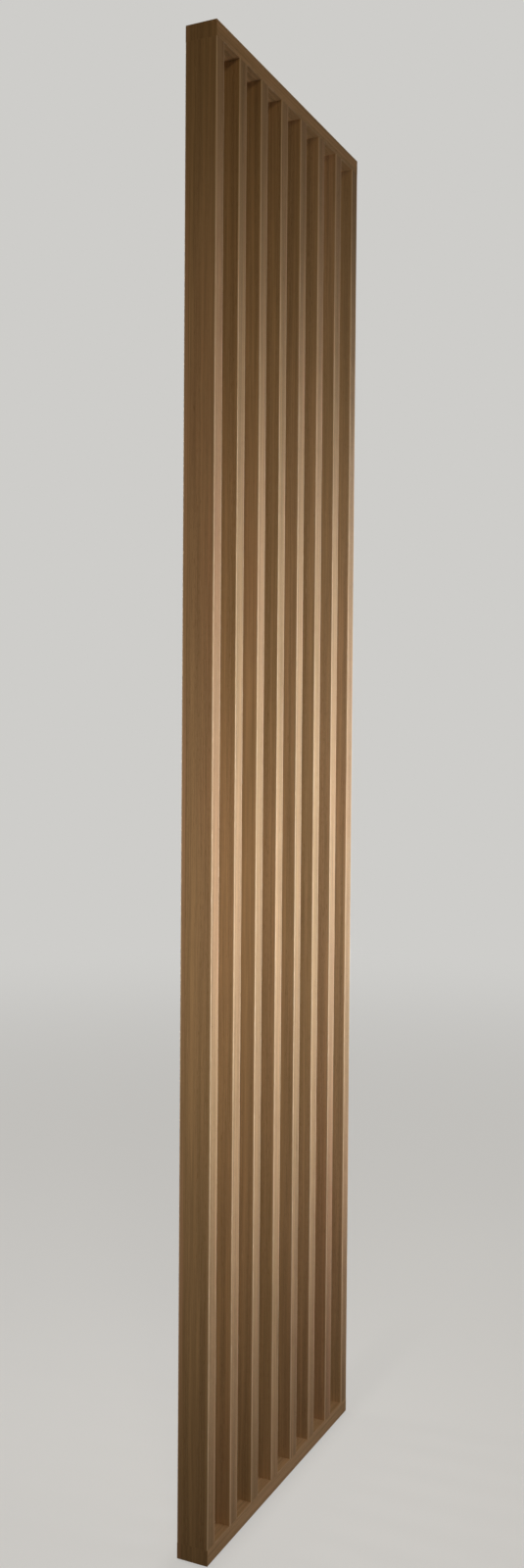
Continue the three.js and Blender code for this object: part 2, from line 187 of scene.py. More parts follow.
class Shader:
    """A material with one Principled BSDF, and short calls that add nodes and link them."""

    def __init__(self, name, roughness=0.5, metallic=0.0, specular=0.5):
        self.material = bpy.data.materials.new(name)
        self.material.use_nodes = True
        self.tree = self.material.node_tree
        self.surface = self.tree.nodes["Principled BSDF"]
        self.surface.inputs["Roughness"].default_value = roughness
        self.surface.inputs["Metallic"].default_value = metallic
        self.surface.inputs["Specular IOR Level"].default_value = specular

    def add(self, kind, inputs=None, **settings):
        return add_node(self.tree, kind, inputs, **settings)

    def feed(self, name, socket):
        self.tree.links.new(socket, self.surface.inputs[name])

    def place(self, seed=0.0, turn=(0.0, 0.0, 0.0)):
        """Place on the piece, in metres, turned and moved to a spot of its own in the pattern."""
        coordinates = self.add("ShaderNodeTexCoord")
        shift = [step * seed for step in SEED_STEPS]
        mapping = self.add("ShaderNodeMapping", {
            "Vector": coordinates.outputs["Object"],
            "Location": shift,
            "Rotation": turn,
        })
        return mapping.outputs["Vector"]

    def math(self, operation, first, second=0.0, third=0.0):
        made = self.add("ShaderNodeMath", {0: first, 1: second, 2: third}, operation=operation)
        return made.outputs[0]

    def spread(self, value, low, high, to_low, to_high):
        made = self.add("ShaderNodeMapRange", {
            "Value": value,
            "From Min": low,
            "From Max": high,
            "To Min": to_low,
            "To Max": to_high,
        }, interpolation_type="SMOOTHSTEP")
        return made.outputs["Result"]

    def noise(self, place, counts, detail=2.0, roughness=0.5):
        """Noise with so many features per metre along x, y and z."""
        scaled = self.add("ShaderNodeVectorMath", {0: place, 1: counts}, operation="MULTIPLY")
        made = self.add("ShaderNodeTexNoise", {
            "Vector": scaled.outputs[0],
            "Scale": 1.0,
            "Detail": detail,
            "Roughness": roughness,
        })
        return made.outputs["Fac"]

    def ramp(self, value, stops):
        made = self.add("ShaderNodeValToRGB", {"Fac": value})
        points = made.color_ramp.elements
        while len(points) < len(stops):
            points.new(0.5)
        for point, (position, colour) in zip(points, stops):
            point.position = position
            point.color = colour
        return made.outputs["Color"]

    def blend(self, kind, factor, first, second):
        made = self.add("ShaderNodeMix", {0: factor, 6: first, 7: second}, data_type="RGBA",
                        blend_type=kind)
        return made.outputs[2]

    def shade(self, colour, value, low, high):
        """Colour times a grey that goes from low to high with value."""
        grey = self.spread(value, 0.3, 0.7, low, high)
        return self.blend("MULTIPLY", 1.0, colour, grey)

    def bump(self, height, distance, strength=1.0):
        made = self.add("ShaderNodeBump", {
            "Height": height,
            "Distance": distance,
            "Strength": strength,
        })
        self.feed("Normal", made.outputs["Normal"])


SEED_STEPS = (1.37, 2.11, 0.73)        # metres that one unit of seed moves the pattern by

# Tones of the oak, from the olive to the reddish, and its marks.
OAK_TONES = [
    (0.30, srgb(173, 142, 104)),
    (0.45, srgb(181, 148, 109)),
    (0.56, srgb(187, 152, 114)),
    (0.70, srgb(187, 147, 110)),
]
OAK_PORE = srgb(122, 89, 55)
OAK_RAY = srgb(216, 186, 146)
# Painted highlight: the pale colour laid along the arrises.
OAK_ARRIS_HIGHLIGHT = srgb(236, 210, 174)
OAK_STRIPE = srgb(203, 162, 128)
STRIPE_EDGE = 20.5 * MM                # from the panel's middle plane to the pale stripe
STRIPE_WAVER = 2.4 * MM
STRIPE_BLUR = 0.3 * MM
STRIPE_SHADE_START = 1.6 * MM          # the dark line beside it, measured from the stripe
STRIPE_SHADE_END = 0.2 * MM
GRAIN_SWAY = 12.0 * MM
GRAIN_ALONG_X = (0.0, math.pi / 2, 0.0)
GRAIN_ALONG_Z = (0.0, 0.0, 0.0)
ROLLED_ALONG_X = (60.0, 4200.0, 4200.0)    # tool marks in the steel, per metre
TURNED_ABOUT_Z = (60.0, 60.0, 4200.0)


def swayed(shader, flat):
    """The place with its grain lines bent a few millimetres to and fro along the piece."""
    slow = shader.add("ShaderNodeVectorMath", {0: flat, 1: (4.0, 4.0, 0.9)}, operation="MULTIPLY")
    sway = shader.add("ShaderNodeTexNoise", {
        "Vector": slow.outputs[0],
        "Scale": 1.0,
        "Detail": 1.0,
    })
    offset = shader.add("ShaderNodeVectorMath", {
        0: sway.outputs["Color"],
        1: (GRAIN_SWAY, GRAIN_SWAY, 0.0),
    }, operation="MULTIPLY")
    bent = shader.add("ShaderNodeVectorMath", {0: flat, 1: offset.outputs[0]}, operation="ADD")
    return bent.outputs[0]


def pale_stripe(shader, colour):
    """A pale reddish stripe of the veneer along the piece's back edge, and a dark line beside it."""
    place = shader.add("ShaderNodeTexCoord").outputs["Object"]
    depth = shader.add("ShaderNodeSeparateXYZ", {0: place}).outputs["Y"]
    waver = shader.noise(place, (1.0, 1.0, 3.0), detail=2.0)
    line = shader.math("MULTIPLY_ADD", waver, -STRIPE_WAVER, depth)
    strength = shader.spread(shader.noise(place, (1.0, 1.0, 1.7), detail=1.0), 0.35, 0.6, 0.25, 0.8)
    inside = shader.spread(line, STRIPE_EDGE - STRIPE_BLUR, STRIPE_EDGE + STRIPE_BLUR, 0.0, 1.0)
    colour = shader.blend("MIX", shader.math("MULTIPLY", inside, strength), colour, OAK_STRIPE)
    near = shader.spread(line, STRIPE_EDGE - STRIPE_SHADE_START, STRIPE_EDGE - STRIPE_SHADE_END, 0.0, 1.0)
    beside = shader.math("MULTIPLY", near, shader.math("SUBTRACT", 1.0, inside))
    dark_share = shader.math("MULTIPLY", beside, shader.math("MULTIPLY", strength, 0.55))
    return shader.blend("MIX", dark_share, colour, OAK_PORE)


def oak(name, seed, turn, tone=1.0, striped=False, highlight_level=1.0):
    """Straight-grained oak veneer under a satin lacquer. The grain runs along the turned Z.

    The highlight level says how strong the painted highlight along the arrises is.
    """
    shader = Shader(name, roughness=0.55, specular=0.08)
    flat = shader.place(seed, turn)
    place = swayed(shader, flat)
    drift = shader.noise(flat, (5.0, 5.0, 0.8), detail=3.0)
    bands = shader.noise(place, (80.0, 80.0, 0.6), detail=2.0)
    streaks = shader.noise(place, (300.0, 300.0, 3.2), detail=3.0, roughness=0.6)
    fibres = shader.noise(place, (1100.0, 1100.0, 11.0), detail=2.0)
    pores = shader.noise(place, (2300.0, 2300.0, 70.0), detail=1.0)
    rays = shader.noise(place, (700.0, 700.0, 32.0), detail=1.0)

    colour = shader.ramp(drift, OAK_TONES)
    colour = shader.shade(colour, bands, 0.90 * tone, 1.09 * tone)
    colour = shader.shade(colour, streaks, 0.87, 1.11)
    colour = shader.shade(colour, fibres, 0.93, 1.06)
    crowded = shader.spread(bands, 0.35, 0.65, 0.75, 0.15)
    pore_mask = shader.spread(pores, 0.60, 0.70, 0.0, 1.0)
    pore_share = shader.math("MULTIPLY", pore_mask, crowded)
    colour = shader.blend("MIX", pore_share, colour, OAK_PORE)
    ray_share = shader.spread(rays, 0.66, 0.78, 0.0, 0.30)
    colour = shader.blend("MIX", ray_share, colour, OAK_RAY)
    if striped:
        colour = pale_stripe(shader, colour)
    # Painted highlight: the arrises, marked by the edge attribute, are made paler by a share that varies
    # with the streaks.
    edge = shader.add("ShaderNodeAttribute", attribute_name="edge").outputs["Fac"]
    highlight_share = shader.spread(streaks, 0.25, 0.75, 0.75 * highlight_level, 0.95 * highlight_level)
    colour = shader.blend("MIX", shader.math("MULTIPLY", edge, highlight_share), colour, OAK_ARRIS_HIGHLIGHT)
    shader.feed("Base Color", colour)

    sheen = shader.spread(streaks, 0.3, 0.7, 0.60, 0.50)
    shader.feed("Roughness", shader.math("MULTIPLY_ADD", pore_share, 0.2, sheen))
    relief = shader.math("MULTIPLY_ADD", fibres, 0.5, shader.math("MULTIPLY", streaks, 0.8))
    relief = shader.math("MULTIPLY_ADD", pore_share, -0.8, relief)
    shader.bump(relief, 0.12 * MM, 0.6)
    return shader.material


def beech(name):
    """Bare turned dowel wood with short brown flecks."""
    shader = Shader(name, roughness=0.72, specular=0.3)
    place = shader.place(3.0)
    streaks = shader.noise(place, (400.0, 400.0, 14.0), detail=3.0)
    flecks = shader.noise(place, (1500.0, 1500.0, 260.0), detail=1.0)
    colour = shader.ramp(streaks, [(0.3, srgb(196, 166, 124)), (0.7, srgb(218, 192, 152))])
    mask = shader.spread(flecks, 0.62, 0.70, 0.0, 0.6)
    colour = shader.blend("MIX", mask, colour, srgb(150, 108, 70))
    shader.feed("Base Color", colour)
    shader.bump(streaks, 0.05 * MM, 0.5)
    return shader.material


def zinc(name, tool_marks):
    """Bright zinc plate over steel: fine tool marks, faint blue and straw clouds."""
    shader = Shader(name, roughness=0.32, metallic=1.0)
    place = shader.place(5.0)
    clouds = shader.noise(place, (160.0, 160.0, 160.0), detail=4.0, roughness=0.6)
    lines = shader.noise(place, tool_marks, detail=2.0)
    colour = shader.ramp(clouds, [
        (0.30, srgb(188, 194, 200)),
        (0.50, srgb(198, 198, 196)),
        (0.70, srgb(202, 196, 178)),
    ])
    shader.feed("Base Color", shader.shade(colour, lines, 0.92, 1.05))
    shader.feed("Roughness", shader.spread(clouds, 0.3, 0.7, 0.26, 0.42))
    shader.bump(lines, 0.01 * MM, 0.5)
    return shader.material


def bronze(name):
    """Turned sintered bronze, with fine pores and oil-dark patches."""
    shader = Shader(name, roughness=0.42, metallic=1.0)
    place = shader.place(7.0)
    clouds = shader.noise(place, (220.0, 220.0, 220.0), detail=4.0)
    rings = shader.noise(place, (300.0, 300.0, 4200.0), detail=2.0)
    pits = shader.noise(place, (3800.0, 3800.0, 3800.0), detail=1.0)
    colour = shader.ramp(clouds, [(0.3, srgb(160, 118, 66)), (0.7, srgb(196, 152, 92))])
    pit_mask = shader.spread(pits, 0.62, 0.72, 0.0, 0.7)
    shader.feed("Base Color", shader.blend("MIX", pit_mask, colour, srgb(84, 60, 34)))
    shader.feed("Roughness", shader.spread(clouds, 0.3, 0.7, 0.36, 0.52))
    shader.bump(shader.math("SUBTRACT", rings, pit_mask), 0.02 * MM, 0.6)
    return shader.material


def acetal(name):
    """Black moulded acetal with a fine spark-eroded skin."""
    shader = Shader(name, roughness=0.42, specular=0.5)
    place = shader.place(9.0)
    grains = shader.noise(place, (5200.0, 5200.0, 5200.0), detail=2.0)
    clouds = shader.noise(place, (120.0, 120.0, 120.0), detail=2.0)
    colour = shader.ramp(clouds, [(0.3, srgb(24, 24, 26)), (0.7, srgb(36, 36, 37))])
    shader.feed("Base Color", colour)
    shader.feed("Roughness", shader.spread(grains, 0.3, 0.7, 0.36, 0.52))
    shader.bump(grains, 0.02 * MM, 0.4)
    return shader.material


# ---------------------------------------------------------------- meshes


def placed(name, data):
    """New object with this data, linked to the scene."""
    made = bpy.data.objects.new(name, data)
    bpy.context.scene.collection.objects.link(made)
    return made


def mesh_object(name, vertices, faces, materials, highlight_marks=None):
    """New mesh object. The highlight marks of its points go to the edge attribute, which paints a
    highlight along the arrises.
    """
    mesh = bpy.data.meshes.new(name)
    mesh.from_pydata(vertices, [], faces)
    if highlight_marks is not None:
        # The edge attribute paints a highlight along the arrises.
        attribute = mesh.attributes.new("edge", "FLOAT", "POINT")
        attribute.data.foreach_set("value", highlight_marks)
    for material in materials:
        mesh.materials.append(material)
    return placed(name, mesh)


def finish_shading(piece, angle=math.radians(30)):
    """Faces out, smooth shading, and sharp edges where faces turn by more than the angle."""
    shape = bmesh.new()
    shape.from_mesh(piece.data)
    bmesh.ops.recalc_face_normals(shape, faces=shape.faces)
    shape.to_mesh(piece.data)
    shape.free()
    piece.data.shade_smooth()
    piece.data.set_sharp_from_angle(angle=angle)
    return piece


def cut(piece, *cutters, operation="DIFFERENCE"):
    """Cuts each cutter out of the piece in turn, and removes the cutters."""
    for cutter in cutters:
        modifier = piece.modifiers.new("cut", "BOOLEAN")
        modifier.operation = operation
        modifier.solver = "EXACT"
        modifier.object = cutter
        graph = bpy.context.evaluated_depsgraph_get()
        mesh = bpy.data.meshes.new_from_object(piece.evaluated_get(graph))
        piece.modifiers.clear()
        piece.data = mesh
        bpy.data.objects.remove(cutter)
    return piece


def joined(name, parts):
    """One mesh object from several separate solids."""
    shape = bmesh.new()
    for part in parts:
        shape.from_mesh(part.data)
        bpy.data.objects.remove(part)
    mesh = bpy.data.meshes.new(name)
    shape.to_mesh(mesh)
    shape.free()
    return placed(name, mesh)


def bar_section(width, depth, radii, steps, margin):
    """Rounded rectangle as (u, v, painted highlight) points, with a loop of its own beside every corner.

    The radii are those of the corners at +u +v, -u +v, -u -v and +u -v.
    """
    points = []
    corners = [(1, 1), (-1, 1), (-1, -1), (1, -1)]
    for quarter, (side_u, side_v) in enumerate(corners):
        radius = radii[quarter]
        centre = Vector((side_u * (width / 2 - radius), side_v * (depth / 2 - radius)))
        for step in range(-1, steps + 2):
            on_arc = min(max(step, 0), steps)
            beside = step - on_arc
            angle = (quarter + on_arc / steps) * math.pi / 2
            outward = Vector((math.cos(angle), math.sin(angle)))
            along = Vector((-outward.y, outward.x))
            point = centre + radius * outward + beside * margin * along
            points.append((point.x, point.y, 0.0 if beside else radius / max(radii)))
    return points


def stations(length, butts):
    """Places of the loops along a bar, between its eased ends.

    The butts are the spans (start, end) in which another piece stands against the bar.
    """
    count = max(2, round(length / LENGTH_STEP))
    places = [END_EASE + (length - 2 * END_EASE) * step / count for step in range(count + 1)]
    for start, end in butts:
        for place in (start, start + ARRIS, end - ARRIS, end):
            if 2 * END_EASE < place < length - 2 * END_EASE:
                places.append(place)
    return sorted(places)


def butted(place, butts):
    """1 where another piece stands against the bar, and 0 in the open."""
    inside = [min(place - start, end - place, ARRIS) / ARRIS for start, end in butts]
    return max([0.0, *inside])


def loft(name, rings, materials, highlight_marks=None):
    """Solid through a row of rings with as many points each. Its first two faces are the ends."""
    ring = len(rings[0])
    vertices = [point for points in rings for point in points]
    faces = [list(range(ring)), list(range(len(vertices) - ring, len(vertices)))]
    for level in range(len(rings) - 1):
        for step in range(ring):
            following = (step + 1) % ring
            base = level * ring
            faces.append([base + step, base + following, base + ring + following, base + ring + step])
    return mesh_object(name, vertices, faces, materials, highlight_marks)


def bar(name, low, high, axis, materials, butts=(), butt_side=0):
    """Straight bar in the given box, with rounded long edges and with its two ends eased.

    A second and a third material go on the low and the high end. The edges on the butt side
    (1 high, -1 low) stay nearly square along the butts, so that the joints there lie flush.
    """
    size = high - low
    centre = (low + high) / 2
    length = size[axis]
    across = [number for number in range(3) if number != axis]
    width, depth = size[across[0]], size[across[1]]
    # Painted highlight: the rings on the arrises carry it, and the inner ring at each end does not.
    low_end = [(0.0, ARRIS_HIGHLIGHT_WIDTH, False), (0.0, END_EASE, True)]
    between = [(place, 0.0, True) for place in stations(length, butts)]
    high_end = [(length, END_EASE, True), (length, ARRIS_HIGHLIGHT_WIDTH, False)]
    rings, highlight_marks = [], []
    for place, inset, highlighted in [*low_end, *between, *high_end]:
        joint_radius = ARRIS - (ARRIS - BUTT_EDGE) * butted(place, butts)
        high_radius = joint_radius if butt_side == 1 else ARRIS
        low_radius = joint_radius if butt_side == -1 else ARRIS
        radii = [high_radius, high_radius, low_radius, low_radius]
        section = bar_section(width - 2 * inset, depth - 2 * inset, radii, ARRIS_STEPS, ARRIS_HIGHLIGHT_WIDTH)
        ring = []
        for u, v, mark in section:
            point = [0.0, 0.0, 0.0]
            point[axis] = low[axis] + place
            point[across[0]] = centre[across[0]] + u
            point[across[1]] = centre[across[1]] + v
            ring.append(point)
            highlight_marks.append(mark if highlighted else 0.0)
        rings.append(ring)
    piece = loft(name, rings, materials, highlight_marks)
    if len(materials) > 1:
        mark_ends(piece, low[axis], high[axis], axis)
    return finish_shading(piece)


def mark_ends(piece, low, high, axis):
    """Gives the bar's low end its second material and its high end its third."""
    for face in piece.data.polygons:
        places = [piece.data.vertices[index].co[axis] for index in face.vertices]
        if max(places) - low < END_EASE / 2:
            face.material_index = 1
        elif high - min(places) < END_EASE / 2:
            face.material_index = 2


def lathe(name, profile, sides, materials=(), closed=False, relief=None):
    """Round solid about Z from (radius, z) points. An open profile starts and ends on the axis.

    A relief gives how much lower the surface lies at an angle and a height, as in a thread.
    """
    shape = bmesh.new()
    rings = []
    for radius, z in profile:
        if radius == 0:
            rings.append([shape.verts.new((0, 0, z))])
            continue
        ring = []
        for step in range(sides):
            angle = 2 * math.pi * step / sides
            reach = radius - (relief(angle, z) if relief else 0.0)
            ring.append(shape.verts.new((reach * math.cos(angle), reach * math.sin(angle), z)))
        rings.append(ring)
    pairs = list(zip(rings, rings[1:]))
    if closed:
        pairs.append((rings[-1], rings[0]))
    for first, second in pairs:
        for step in range(sides):
            following = (step + 1) % sides
            corners = [
                first[step % len(first)],
                first[following % len(first)],
                second[following % len(second)],
                second[step % len(second)],
            ]
            unique = list(dict.fromkeys(corners))
            if len(unique) > 2:
                shape.faces.new(unique)
    bmesh.ops.recalc_face_normals(shape, faces=shape.faces)
    mesh = bpy.data.meshes.new(name)
    shape.to_mesh(mesh)
    shape.free()
    for material in materials:
        mesh.materials.append(material)
    return placed(name, mesh)


def eased(profile, radius, closed=False, steps=4):
    """The profile with each corner off the axis rounded by about the radius."""
    result = []
    count = len(profile)
    for number, point in enumerate(profile):
        ends = not closed and number in (0, count - 1)
        if ends or point[0] == 0:
            result.append(point)
            continue
        here = Vector(point)
        before = Vector(profile[(number - 1) % count]) - here
        after = Vector(profile[(number + 1) % count]) - here
        reach = min(radius, EASED_SHARE * before.length, EASED_SHARE * after.length)
        start = here + reach * before.normalized()
        end = here + reach * after.normalized()
        for step in range(steps + 1):
            t = step / steps
            bent = (1 - t) ** 2 * start + 2 * t * (1 - t) * here + t ** 2 * end
            result.append((bent.x, bent.y))
    return result


def moved(piece, place, flipped=False):
    """The piece with its mesh moved to a place, turned upside down first where flipped."""
    if flipped:
        piece.data.transform(Matrix.Rotation(math.pi, 4, "X"))
    piece.data.transform(Matrix.Translation(place))
    return piece


# ---------------------------------------------------------------- settling on the model

BODY_OF = {
    node: body
    for body, nodes in frame["record"]["behaviour"]["bodies"].items()
    for node in nodes
}


def settle(piece, node):
    """The piece stands for the node, whose own mesh is hidden, and moves with its body."""
    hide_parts(node)
    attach(piece, BODY_OF[node])
    return piece


def radius_of(node):
    low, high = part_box(node)
    return (high.x - low.x) / 2


def height_of(node):
    low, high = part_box(node)
    return high.z - low.z


def face_of(node, up):
    """Middle of the node's top face, or of its bottom face."""
    low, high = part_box(node)
    return Vector(((low.x + high.x) / 2, (low.y + high.y) / 2, high.z if up else low.z))


# ---------------------------------------------------------------- holes in the wood


def cylinder_cutter(radius, low, high, sides=SMOOTH_SIDES):
    return lathe("bore", [(0, low), (radius, low), (radius, high), (0, high)], sides)


def screw_hole(node, shank, up):
    """Cutter for the countersunk hole round a screw of the model."""
    head = radius_of(node)
    length = height_of(node)
    sink = head - shank / 2
    rim = sink / 4
    profile = [
        (0, -length - FIT),
        (shank / 2 + FIT, -length - FIT),
        (shank / 2 + FIT, -sink - rim - FIT),
        (head + FIT, -rim - FIT),
        (head + FIT, SPARE),
        (0, SPARE),
    ]
    return moved(lathe(node + "_hole", profile, HOLE_SIDES), face_of(node, up), flipped=not up)


def flange_screw_holes(screws, up):
    """Cutters for the two small screws of a flanged pivot piece."""
    return [screw_hole(f"{screws}_{number}", FLANGE_SCREW_SHANK, up) for number in (1, 2)]


def dowel_hole(node):
    hole = cylinder_cutter(radius_of(node) + FIT, -SPARE, height_of(node) + SPARE, HOLE_SIDES)
    return moved(hole, face_of(node, False))


def pivot_pocket(node, rail, up):
    """Cutter for the stepped pocket in a rail, round the flanged pivot piece of the model."""
    flange = radius_of(node)
    barrel = flange - FLANGE_RIM
    depth = height_of(node) + SEAT_GAP
    profile = [
        (0, -depth),
        (barrel + POCKET_FIT, -depth),
        (barrel + POCKET_FIT, -FLANGE - SEAT_GAP),
        (flange + POCKET_FIT, -FLANGE - SEAT_GAP),
        (flange + POCKET_FIT, SPARE),
        (0, SPARE),
    ]
    cutter = lathe(node + "_pocket", profile, SMOOTH_SIDES)
    return moved(cutter, Vector((0, 0, face_of(rail, up).z)), flipped=not up)


# ---------------------------------------------------------------- the panel


def upright_look(name, number, shift=0.0):
    """Oak of an upright. The left stile alone has the pale stripe."""
    seed = UPRIGHT_SEEDS[number] + shift
    return oak(name, seed, GRAIN_ALONG_Z, UPRIGHT_TONES[number], striped=number == 0)


def make_upright(number, node):
    low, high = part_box(node)
    piece = bar("oak_" + node, low, high, 2, [upright_look("oak_" + node, number)])
    side = number + 1
    cutters = [
        screw_hole(f"frame_screw_bottom_{side}", FRAME_SCREW_SHANK, False),
        screw_hole(f"frame_screw_top_{side}", FRAME_SCREW_SHANK, True),
        dowel_hole(f"dowel_bottom_{side}"),
        dowel_hole(f"dowel_top_{side}"),
    ]
    cut(piece, joined("holes", cutters))
    settle(finish_shading(piece), node)


def rail_butts(low, high):
    """Spans of a rail in which the uprights stand. The outer two run on past its ends."""
    butts = []
    for upright in UPRIGHTS:
        near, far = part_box(upright)
        butts.append((near.x - low.x, far.x - low.x))
    butts[0] = (-ARRIS, butts[0][1])
    butts[-1] = (butts[-1][0], high.x - low.x + ARRIS)
    return butts


def make_rail(node, up, pivot, pivot_screws):
    """Rail with oak of its own, and at its two ends oak that runs on from the stiles."""
    low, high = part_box(node)
    looks = [
        # The rails' arrises get only a faint painted highlight.
        oak("oak_" + node, RAIL_SEEDS[node], GRAIN_ALONG_X, RAIL_TONES[node], highlight_level=RAIL_ARRIS_HIGHLIGHT),
        upright_look(f"oak_{node}_left_end", 0, END_BAND_SHIFT),
        upright_look(f"oak_{node}_right_end", -1, END_BAND_SHIFT),
    ]
    piece = bar("oak_" + node, low, high, 0, looks, rail_butts(low, high), -1 if up else 1)
    level = "top" if up else "bottom"
    holes = []
    for number in range(1, len(UPRIGHTS) + 1):
        holes.append(screw_hole(f"frame_screw_{level}_{number}", FRAME_SCREW_SHANK, up))
        holes.append(dowel_hole(f"dowel_{level}_{number}"))
    cut(piece, pivot_pocket(pivot, node, up), joined("holes", holes))
    cut(piece, joined("small_holes", flange_screw_holes(pivot_screws, up)))
    settle(finish_shading(piece), node)


def make_wood():
    for number, node in enumerate(UPRIGHTS):
        make_upright(number, node)
    make_rail("bottom_rail", False, "bottom_bush", "bush_screw")
    make_rail("top_rail", True, "top_housing", "housing_screw")


# ---------------------------------------------------------------- dowels and screws


def make_dowel(node, material):
    """Dowel with flutes along it for the glue, and chamfered ends."""
    radius = radius_of(node)
    length = height_of(node)
    profile = [
        (0, 0),
        (radius - DOWEL_CHAMFER, 0),
        (radius, DOWEL_CHAMFER),
        (radius, 2 * DOWEL_CHAMFER),
        (radius, length - 2 * DOWEL_CHAMFER),
        (radius, length - DOWEL_CHAMFER),
        (radius - DOWEL_CHAMFER, length),
        (0, length),
    ]

    def flute(angle, z):
        if not DOWEL_CHAMFER < z < length - DOWEL_CHAMFER:
            return 0.0
        return FLUTE_DEPTH * max(0.0, -math.cos(FLUTES * angle))

    piece = lathe("beech_" + node, profile, FLUTE_SIDES, [material], relief=flute)
    moved(piece, face_of(node, False))
    settle(finish_shading(piece), node)


def cross_recess(head):
    """Cutter for the tapered cross recess of a screw with the given head, whose top is at z = 0.

    Each level has its height, the reach of the cross's arms and half their width.
    """
    levels = [(0.2 * MM, 0.27 * head, 0.075 * head), (-0.24 * head, 0.15 * head, 0.050 * head)]
    rings = []
    for z, reach, half in levels:
        arm = [(reach, -half), (reach, half), (half, half)]
        quarter_turns = [(1, 0), (0, 1), (-1, 0), (0, -1)]
        ring = []
        for along, side in quarter_turns:
            for u, v in arm:
                ring.append((u * along - v * side, u * side + v * along, z))
        rings.append(ring)
    return finish_shading(loft("recess", rings, []))


def screw_mesh(name, node, shank, pitch, neck, material):
    """Countersunk wood screw as large as the node, which points down from z = 0.

    It has a cross recess in its head, a bare neck and then the thread.
    """
    head = radius_of(node)
    length = height_of(node)
    sink = head - shank / 2
    rim = sink / 4
    start = -(sink + rim + neck)

    def reach_at(z):
        return shank / 2 * min(1.0, (z + length) / (SCREW_TIP * shank))

    def groove(angle, z):
        if z > start:
            return 0.0
        phase = (z / pitch - angle / (2 * math.pi)) % 1.0
        valley = min(1.0, abs(phase - 0.5) / THREAD_FLANK)
        return THREAD_DEPTH * reach_at(z) * valley * min(1.0, (start - z) / pitch)

    outside = eased([
        (0, 0),
        (head, 0),
        (head, -rim),
        (shank / 2, -sink - rim),
    ], SCREW_HEAD_EASE)
    count = round((length + start) / pitch * THREAD_STEPS)
    heights = [start - (length + start) * step / count for step in range(count)]
    thread = [(reach_at(z), z) for z in heights]
    profile = [*outside, *thread, (0, -length)]
    piece = lathe(name, profile, SCREW_SIDES, [material], relief=groove)
    return finish_shading(cut(piece, cross_recess(2 * head)))


def place_screw(pattern, node, up):
    piece = placed("zinc_" + node, pattern.data.copy())
    settle(moved(piece, face_of(node, up), flipped=not up), node)


def make_joinery(dowel_look, screw_look):
    screw = screw_mesh("frame_screw", "frame_screw_top_1", FRAME_SCREW_SHANK, FRAME_SCREW_PITCH,
                       FRAME_SCREW_NECK, screw_look)
    for level in ("bottom", "top"):
        for number in range(1, len(UPRIGHTS) + 1):
            make_dowel(f"dowel_{level}_{number}", dowel_look)
            place_screw(screw, f"frame_screw_{level}_{number}", level == "top")
    small = screw_mesh("flange_screw", "bush_screw_1", FLANGE_SCREW_SHANK, FLANGE_SCREW_PITCH,
                       FLANGE_SCREW_NECK, screw_look)
    for number in (1, 2):
        place_screw(small, f"bush_screw_{number}", False)
        place_screw(small, f"housing_screw_{number}", True)
    bpy.data.objects.remove(screw)
    bpy.data.objects.remove(small)


# ---------------------------------------------------------------- pivots


def turned_piece(name, node, profile, material, closed=False, ease=EASE):
    piece = lathe(name, eased(profile, ease, closed), SMOOTH_SIDES, [material], closed)
    return settle(finish_shading(piece), node)


def plate_body(name, base, width, depth, material):
    """Flat steel bar with rounded corners and slightly rolled edges."""
    levels = []
    for step in range(PLATE_EDGE_STEPS + 1):
        turn = step / PLATE_EDGE_STEPS * math.pi / 2
        levels.append((PLATE_EDGE * (1 - math.sin(turn)), PLATE_EDGE * (1 - math.cos(turn))))
    levels += [(inset, PLATE_THICKNESS - lift) for inset, lift in reversed(levels)]
    rings = []
    for inset, lift in levels:
        radii = [PLATE_CORNER - inset] * 4
        section = bar_section(width - 2 * inset, depth - 2 * inset, radii, PLATE_CORNER_STEPS, PLATE_LOOP)
        rings.append([(u, v, base + lift) for u, v, _ in section])
    return finish_shading(loft(name, rings, [material]))


def plate_holes(base, width, depth, up):
    """Cutters for the four countersunk holes of a plate, which open up or down."""
    sink = (PLATE_HOLE_HEAD - PLATE_HOLE) / 2
    profile = [
        (0, -PLATE_THICKNESS - SPARE),
        (PLATE_HOLE / 2, -PLATE_THICKNESS - SPARE),
        (PLATE_HOLE / 2, -sink),
        (PLATE_HOLE_HEAD / 2, 0),
        (PLATE_HOLE_HEAD / 2, SPARE),
        (0, SPARE),
    ]
    reach_x = width / 2 - PLATE_HOLE_INSET
    reach_y = depth / 2 - PLATE_HOLE_INSET
    face = base + PLATE_THICKNESS if up else base
    holes = []
    for side_x, side_y in ((-1, -1), (1, -1), (1, 1), (-1, 1)):
        hole = lathe("plate_hole", profile, HOLE_SIDES)
        holes.append(moved(hole, Vector((side_x * reach_x, side_y * reach_y, face)), flipped=not up))
    return joined("plate_holes", holes)


def make_floor_plate(look):
    """Plate with a blind hole in which the floor pin stands."""
    low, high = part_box("floor_plate")
    width, depth = high.x - low.x, high.y - low.y
    plate = plate_body("zinc_floor_plate", low.z, width, depth, look)
    seat_low = face_of("floor_pin", False).z - SEAT_GAP
    seat = cylinder_cutter(radius_of("floor_pin") + FIT, seat_low, high.z + SPARE)
    cut(plate, plate_holes(low.z, width, depth, True), seat)
    settle(finish_shading(plate), "floor_plate")


def make_floor_pin(look):
    low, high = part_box("floor_pin")
    radius = radius_of("floor_pin")
    turned_piece("zinc_floor_pin", "floor_pin", [
        (0, low.z),
        (radius, low.z),
        (radius, high.z - FLOOR_PIN_CHAMFER),
        (radius - FLOOR_PIN_CHAMFER, high.z),
        (0, high.z),
    ], look, ease=FINE_EASE)


